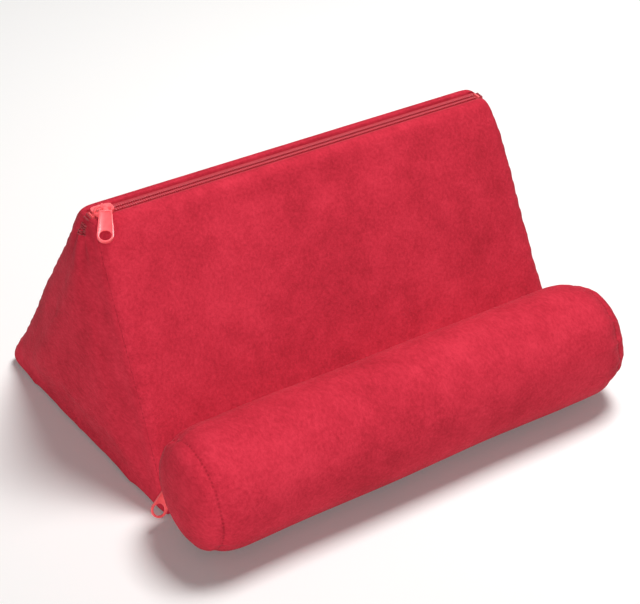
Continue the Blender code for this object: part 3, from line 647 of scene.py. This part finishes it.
def dress_roll(piece):
    points = points_of(piece)
    x = points[:, 0]
    from_axis = points[:, 1:] - np.array(roll_axis)[1:]
    angle = np.arctan2(from_axis[:, 1], from_axis[:, 0])
    radius = np.linalg.norm(from_axis, axis=1)
    from_seam = np.abs(x) - ROLL_SEAM_X
    on_seam = np.exp(-(from_seam / 0.0018) ** 2)
    ring = np.stack([np.sign(x) * 3.0, np.cos(angle) * 1.9, np.sin(angle) * 1.9], axis=1)
    puckers = wrinkle(ring, 3.2, 4) + 0.5 * wrinkle(ring, 6.5, 5)
    reach = np.where(from_seam < 0, np.exp(from_seam / 0.010), np.exp(-from_seam / 0.006))
    slow = wrinkle(points * (0.6, 1.0, 1.0), 28.0, 6)
    fuller = np.clip(radius / 0.02, 0.0, 1.0)
    move = fuller * (-0.0007 * on_seam + 0.0013 * puckers * reach + 0.0009 * slow)
    radius_now = np.minimum(radius + move, ROLL_RADIUS + 0.0004)
    from_axis *= (radius_now / np.maximum(radius, 1e-9))[:, None]
    points[:, 1:] = from_axis + np.array(roll_axis)[1:]
    back = np.array(to_wedge)[1:]
    beyond = from_axis @ back - ROLL_BACK_FLAT
    points[:, 1:] -= np.maximum(beyond, 0.0)[:, None] * back
    points[:, 2] = np.maximum(points[:, 2], 0.0)
    move_points(piece, points)
    mark(piece, "across_seam", from_seam)
    mark(piece, "along_seam", angle * ROLL_RADIUS)
    mark(piece, "painted_shade", np.zeros(len(points)))


dress_roll(roll_cover)
roll_zip_middle = roll_axis + to_wedge * ROLL_BACK_FLAT + up_slope * 0.0030
roll_place = slot_frame(roll_zip_middle, -up_slope, to_wedge)
sink_slot(roll_cover, roll_place, ROLL_ZIP_HALF_LENGTH + SLOT_END_ROOM)
only(roll_cover)
bpy.ops.object.shade_smooth_by_angle(angle=math.radians(50.0))
roll_cover.data.materials.append(velvet)
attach(roll_cover, "cover")
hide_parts("roll_sleeve", "roll_left_cap", "roll_right_cap", "roll_filling")

# The joining strip
# A narrow doubled strip of the same velvet, deep in the groove. It is sewn along both edges
# and holds the roll to the wedge's front panel.

strip_low, strip_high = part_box("joining_strip")
strip_size = strip_high - strip_low
bpy.ops.object.select_all(action="DESELECT")
bpy.ops.mesh.primitive_cube_add(size=1.0)
strip = bpy.context.object
strip.name = "joining_strip_cloth"
bpy.ops.transform.resize(value=strip_size)
bpy.ops.transform.translate(value=(strip_low + strip_high) / 2)
bpy.ops.object.transform_apply(location=True, rotation=True, scale=True)
bpy.ops.object.mode_set(mode="EDIT")
for station in range(1, 44):
    bpy.ops.mesh.select_all(action="SELECT")
    bpy.ops.mesh.bisect(plane_co=(strip_low.x + strip_size.x * station / 44, 0.0, 0.0),
                        plane_no=(1.0, 0.0, 0.0))
bevel_picked(strip, 0.0005, 3, lambda at, along: abs(along.x) > 0.9)
bpy.ops.object.mode_set(mode="OBJECT")
points = points_of(strip)
points[:, 2] += 0.0004 * wrinkle(points * (1.0, 0.2, 0.2), 60.0, 8)
move_points(strip, points)
only(strip)
bpy.ops.object.shade_smooth_by_angle(angle=math.radians(60.0))
strip.data.materials.append(velvet_material("strip_velvet", 0.85, False))
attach(strip, "cover")
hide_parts("joining_strip")

# The zips' tapes
# Two woven polyester tapes a zip, sewn behind the cut cloth, with a firm edge at the teeth.

weave, weave_in, weave_out = add_group(
    "weave", [("Vector", "NodeSocketVector", None), ("Pitch", "NodeSocketFloat", 900.0)],
    [("Color", "NodeSocketColor"), ("Height", "NodeSocketFloat")])
parts_of = weave.nodes.new("ShaderNodeSeparateXYZ")
weave.links.new(weave_in.outputs["Vector"], parts_of.inputs[0])
pitch = weave_in.outputs["Pitch"]
across = add_math(weave, "ADD", parts_of.outputs["Y"], parts_of.outputs["Z"])
warp = add_math(weave, "SINE", add_math(weave, "MULTIPLY", add_math(
    weave, "MULTIPLY", parts_of.outputs["X"], pitch), 6.283), 0.0)
weft = add_math(weave, "SINE", add_math(weave, "MULTIPLY", add_math(
    weave, "MULTIPLY", across, pitch), 6.283), 0.0)
threads = add_math(weave, "MULTIPLY", add_math(weave, "MULTIPLY", warp, weft), 0.5)
threads = add_math(weave, "ADD", threads, 0.5)
fuzz = add_noise(weave, weave_in.outputs["Vector"], 1500.0, 2.0)
relief = add_math(weave, "ADD", add_math(weave, "MULTIPLY", threads, 0.8),
                  add_math(weave, "MULTIPLY", fuzz, 0.3))
weave.links.new(relief, weave_out.inputs["Height"])
weave.links.new(add_ramp(weave, relief, [(0.1, (0.20, 0.008, 0.015)), (0.6, (0.40, 0.018, 0.032)),
                                         (1.0, (0.50, 0.030, 0.048))]), weave_out.inputs["Color"])

tape_look, nodes, links, output = new_material("woven_tape")
where = nodes.new("ShaderNodeTexCoord")
cloth = nodes.new("ShaderNodeGroup")
cloth.node_tree = weave
cloth.inputs["Pitch"].default_value = 1100.0
links.new(where.outputs["Object"], cloth.inputs["Vector"])
shader = nodes.new("ShaderNodeBsdfPrincipled")
shader.inputs["Roughness"].default_value = 0.8
links.new(cloth.outputs["Color"], shader.inputs["Base Color"])
bump = nodes.new("ShaderNodeBump")
bump.inputs["Distance"].default_value = 0.0003
links.new(cloth.outputs["Height"], bump.inputs["Height"])
links.new(bump.outputs["Normal"], shader.inputs["Normal"])
links.new(shader.outputs[0], output.inputs["Surface"])

for node in ("ridge_zip_front_tape", "ridge_zip_back_tape", "roll_zip_upper_tape",
             "roll_zip_lower_tape"):
    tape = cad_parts[node].data
    tape.materials.clear()
    tape.materials.append(tape_look)

# The zips' teeth
# Each side is one moulded coil, whose loops stand 1.3 mm apart on the tape's edge and meet
# those of the other side halfway between.

teeth_look, nodes, links, output = new_material("moulded_teeth")
where = nodes.new("ShaderNodeTexCoord")
grain = nodes.new("ShaderNodeTexNoise")
grain.inputs["Scale"].default_value = 700.0
grain.inputs["Detail"].default_value = 3.0
links.new(where.outputs["Object"], grain.inputs["Vector"])
tone = nodes.new("ShaderNodeValToRGB")
tone.color_ramp.elements[0].color = (0.34, 0.014, 0.026, 1.0)
tone.color_ramp.elements[1].color = (0.52, 0.030, 0.050, 1.0)
links.new(grain.outputs["Fac"], tone.inputs["Fac"])
shader = nodes.new("ShaderNodeBsdfPrincipled")
shader.inputs["Roughness"].default_value = 0.35
links.new(tone.outputs["Color"], shader.inputs["Base Color"])
bump = nodes.new("ShaderNodeBump")
bump.inputs["Strength"].default_value = 0.25
bump.inputs["Distance"].default_value = 0.0001
links.new(grain.outputs["Fac"], bump.inputs["Height"])
links.new(bump.outputs["Normal"], shader.inputs["Normal"])
links.new(shader.outputs[0], output.inputs["Surface"])

COIL_PITCH = 0.0013
COIL_END_ROOM = 0.0019


def add_coil(name, node, place, side, half_length):
    bpy.ops.object.select_all(action="DESELECT")
    bpy.ops.mesh.primitive_cube_add(size=1.0)
    coil_row = bpy.context.object
    coil_row.name = name
    count = int(2 * half_length / COIL_PITCH)
    bpy.ops.transform.resize(value=(0.0009, 0.0019, 0.0023))
    bpy.ops.object.transform_apply(location=True, rotation=True, scale=True)
    bpy.ops.object.mode_set(mode="EDIT")
    pick(coil_row, "FACE", lambda at, normal: normal.z > 0.9)
    bpy.ops.mesh.inset(thickness=0.00022)
    bpy.ops.transform.translate(value=(0.0, 0.0, 0.0001))
    bevel_picked(coil_row, 0.0002, 1, lambda at, along: abs(along.z) > 0.9)
    bpy.ops.mesh.select_all(action="SELECT")
    bpy.ops.transform.rotate(value=side * 0.12, orient_axis="Z", center_override=(0, 0, 0))
    bpy.ops.object.mode_set(mode="OBJECT")
    apply_modifier(coil_row, "ARRAY", count=count, use_relative_offset=False,
                   use_constant_offset=True, constant_offset_displace=(COIL_PITCH, 0.0, 0.0))
    start = -COIL_PITCH * (count - 1) / 2 + side * COIL_PITCH / 4
    coil_row.data.transform(place @ Matrix.Translation((start, side * 0.0016, -0.0023)))
    only(coil_row)
    bpy.ops.object.shade_smooth_by_angle(angle=math.radians(35.0))
    coil_row.data.materials.append(teeth_look)
    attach(coil_row, "cover")
    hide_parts(node)


for zip_name, place, half_length, sides in (
        ("ridge", ridge_place, RIDGE_ZIP_HALF_LENGTH, ("front", "back")),
        ("roll", roll_place, ROLL_ZIP_HALF_LENGTH, ("upper", "lower"))):
    for side_name, side in zip(sides, (-1, 1)):
        add_coil(f"{zip_name}_{side_name}_coil", f"{zip_name}_zip_{side_name}_teeth", place, side,
                 half_length - COIL_END_ROOM)

# The coils' tails
# Past its stops, the ridge zip's coil is turned down over each corner and caught in the end
# panel's seam, where a few loose loops of it show.

# The loops are a darker red than the same coil's teeth: the coil's own red with painted shade of the
# gathered corner on it
shaded_loop_look, nodes, links, output = new_material("loose_loops_shaded")
shader = nodes.new("ShaderNodeBsdfPrincipled")
shader.inputs["Base Color"].default_value = (0.24, 0.010, 0.018, 1.0)
shader.inputs["Roughness"].default_value = 0.7
links.new(shader.outputs[0], output.inputs["Surface"])

covered = BVHTree.FromObject(wedge_cover, bpy.context.evaluated_depsgraph_get())


def add_tail(name, side):
    starts = [(Vector((side * reach, 0.0, 0.2)), Vector((0.0, 0.0, -1.0)))
              for reach in (0.1286, 0.1297)]
    starts += [(Vector((side * 0.2, 0.0, 0.1400 - drop)), Vector((-side, 0.0, 0.0)))
               for drop in (0.0, 0.0013, 0.0026, 0.0039, 0.0052)]
    loops = []
    for turn, (start, direction) in enumerate(starts):
        for row in (-1, 1):
            start.y = RIDGE_ZIP_Y + row * 0.0010 + 0.0003 * (turn % 2)
            where, outwards, _, _ = covered.ray_cast(start, direction)
            path = Vector((0.0, 1.0, 0.0)).cross(outwards)
            tilt = path.to_track_quat("Z", "Y").to_euler()
            bpy.ops.mesh.primitive_torus_add(
                location=where - outwards * 0.0003, rotation=tilt, major_segments=12,
                minor_segments=6, major_radius=0.00130, minor_radius=0.00050)
            loops.append(bpy.context.object)
    join(loops)
    tail = bpy.context.object
    tail.name = name
    bpy.ops.object.transform_apply(location=True, rotation=True, scale=True)
    bpy.ops.object.shade_smooth()
    tail.data.materials.append(shaded_loop_look)
    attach(tail, "cover")


add_tail("ridge_left_tail", -1)
add_tail("ridge_right_tail", 1)

# The zips' metal pieces
# Die-cast sliders and pulls and small clamped stops, lacquered coral pink. The ridge pull's
# barrel turns on a pin between two ears, and the roll pull's eye on a capped post.

metal_look, nodes, links, output = new_material("coral_lacquer")
where = nodes.new("ShaderNodeTexCoord")
speckle = nodes.new("ShaderNodeTexNoise")
speckle.inputs["Scale"].default_value = 260.0
speckle.inputs["Detail"].default_value = 5.0
links.new(where.outputs["Object"], speckle.inputs["Vector"])
tone = nodes.new("ShaderNodeValToRGB")
tone.color_ramp.elements[0].position = 0.3
tone.color_ramp.elements[0].color = (0.74, 0.080, 0.094, 1.0)
tone.color_ramp.elements[1].position = 0.7
tone.color_ramp.elements[1].color = (0.86, 0.112, 0.125, 1.0)
links.new(speckle.outputs["Fac"], tone.inputs["Fac"])
shine = nodes.new("ShaderNodeMapRange")
shine.inputs["To Min"].default_value = 0.28
shine.inputs["To Max"].default_value = 0.46
links.new(speckle.outputs["Fac"], shine.inputs["Value"])
shader = nodes.new("ShaderNodeBsdfPrincipled")
shader.inputs["Specular IOR Level"].default_value = 0.25
shader.inputs["Coat Weight"].default_value = 0.15
shader.inputs["Coat Roughness"].default_value = 0.18
links.new(tone.outputs["Color"], shader.inputs["Base Color"])
links.new(shine.outputs["Result"], shader.inputs["Roughness"])
bump = nodes.new("ShaderNodeBump")
bump.inputs["Strength"].default_value = 0.15
bump.inputs["Distance"].default_value = 0.00008
links.new(speckle.outputs["Fac"], bump.inputs["Height"])
links.new(bump.outputs["Normal"], shader.inputs["Normal"])
links.new(shader.outputs[0], output.inputs["Surface"])


def add_cast_piece(name, node, body, rounding):
    """A cast metal piece: the node's own shape with its edges rounded over."""
    piece = bpy.data.objects.new(name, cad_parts[node].data.copy())
    bpy.context.scene.collection.objects.link(piece)
    only(piece)
    bpy.ops.object.mode_set(mode="EDIT")
    bpy.ops.mesh.select_all(action="SELECT")
    bpy.ops.mesh.remove_doubles(threshold=0.000005)
    bpy.ops.mesh.dissolve_limited(angle_limit=math.radians(1.0))
    bpy.ops.object.mode_set(mode="OBJECT")
    apply_modifier(piece, "BEVEL", width=rounding, segments=2, limit_method="ANGLE",
                   angle_limit=math.radians(35.0), use_clamp_overlap=True)
    only(piece)
    bpy.ops.object.shade_smooth_by_angle(angle=math.radians(40.0))
    piece.data.materials.clear()
    piece.data.materials.append(metal_look)
    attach(piece, body)
    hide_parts(node)
    return piece


for zip_name in ("ridge_zip", "roll_zip"):
    for end_name in ("left", "right"):
        add_cast_piece(f"{zip_name}_{end_name}_clamp", f"{zip_name}_{end_name}_stop", "cover",
                       0.00025)
ridge_slider = add_cast_piece("ridge_cast_slider", "ridge_zip_slider", "ridge_slider", 0.00018)

# Its ears are filed down a little, so that the pull clears them when it lies right back
points = points_of(ridge_slider)
points[:, 2] -= np.where(points[:, 2] > 0.1503, 0.00012, 0.0)
move_points(ridge_slider, points)

# The ridge slider's bridge, an arch cast on its upper plate

slider_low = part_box("ridge_zip_slider")[0]
bpy.ops.object.select_all(action="DESELECT")
bpy.ops.mesh.primitive_torus_add(rotation=(math.pi / 2, 0.0, 0.0), major_segments=32,
                                 minor_segments=10, major_radius=0.0028, minor_radius=0.0007)
bridge = bpy.context.object
bridge.data.materials.append(metal_look)
bpy.ops.object.transform_apply(location=True, rotation=True, scale=True)
bpy.ops.object.mode_set(mode="EDIT")
bpy.ops.mesh.select_all(action="SELECT")
bpy.ops.mesh.bisect(plane_co=(0.0, 0.0, 0.0), plane_no=(0.0, 0.0, 1.0), clear_inner=True,
                    use_fill=True)
bpy.ops.mesh.select_all(action="SELECT")
bpy.ops.transform.resize(value=(1.0, 1.5, 1.0), center_override=(0.0, 0.0, 0.0))
bpy.ops.transform.translate(value=(slider_low.x + 0.0035, RIDGE_ZIP_Y - 0.0012,
                                   WEDGE_HEIGHT + 0.0004))
bpy.ops.object.mode_set(mode="OBJECT")
bpy.ops.object.shade_smooth()
join([ridge_slider, bridge])
add_cast_piece("ridge_cast_pull", "ridge_zip_pull", "ridge_pull", 0.00018)
add_cast_piece("roll_cast_slider", "roll_zip_slider", "roll_slider", 0.00018)
add_cast_piece("roll_cast_pull", "roll_zip_pull", "roll_pull", 0.00018)
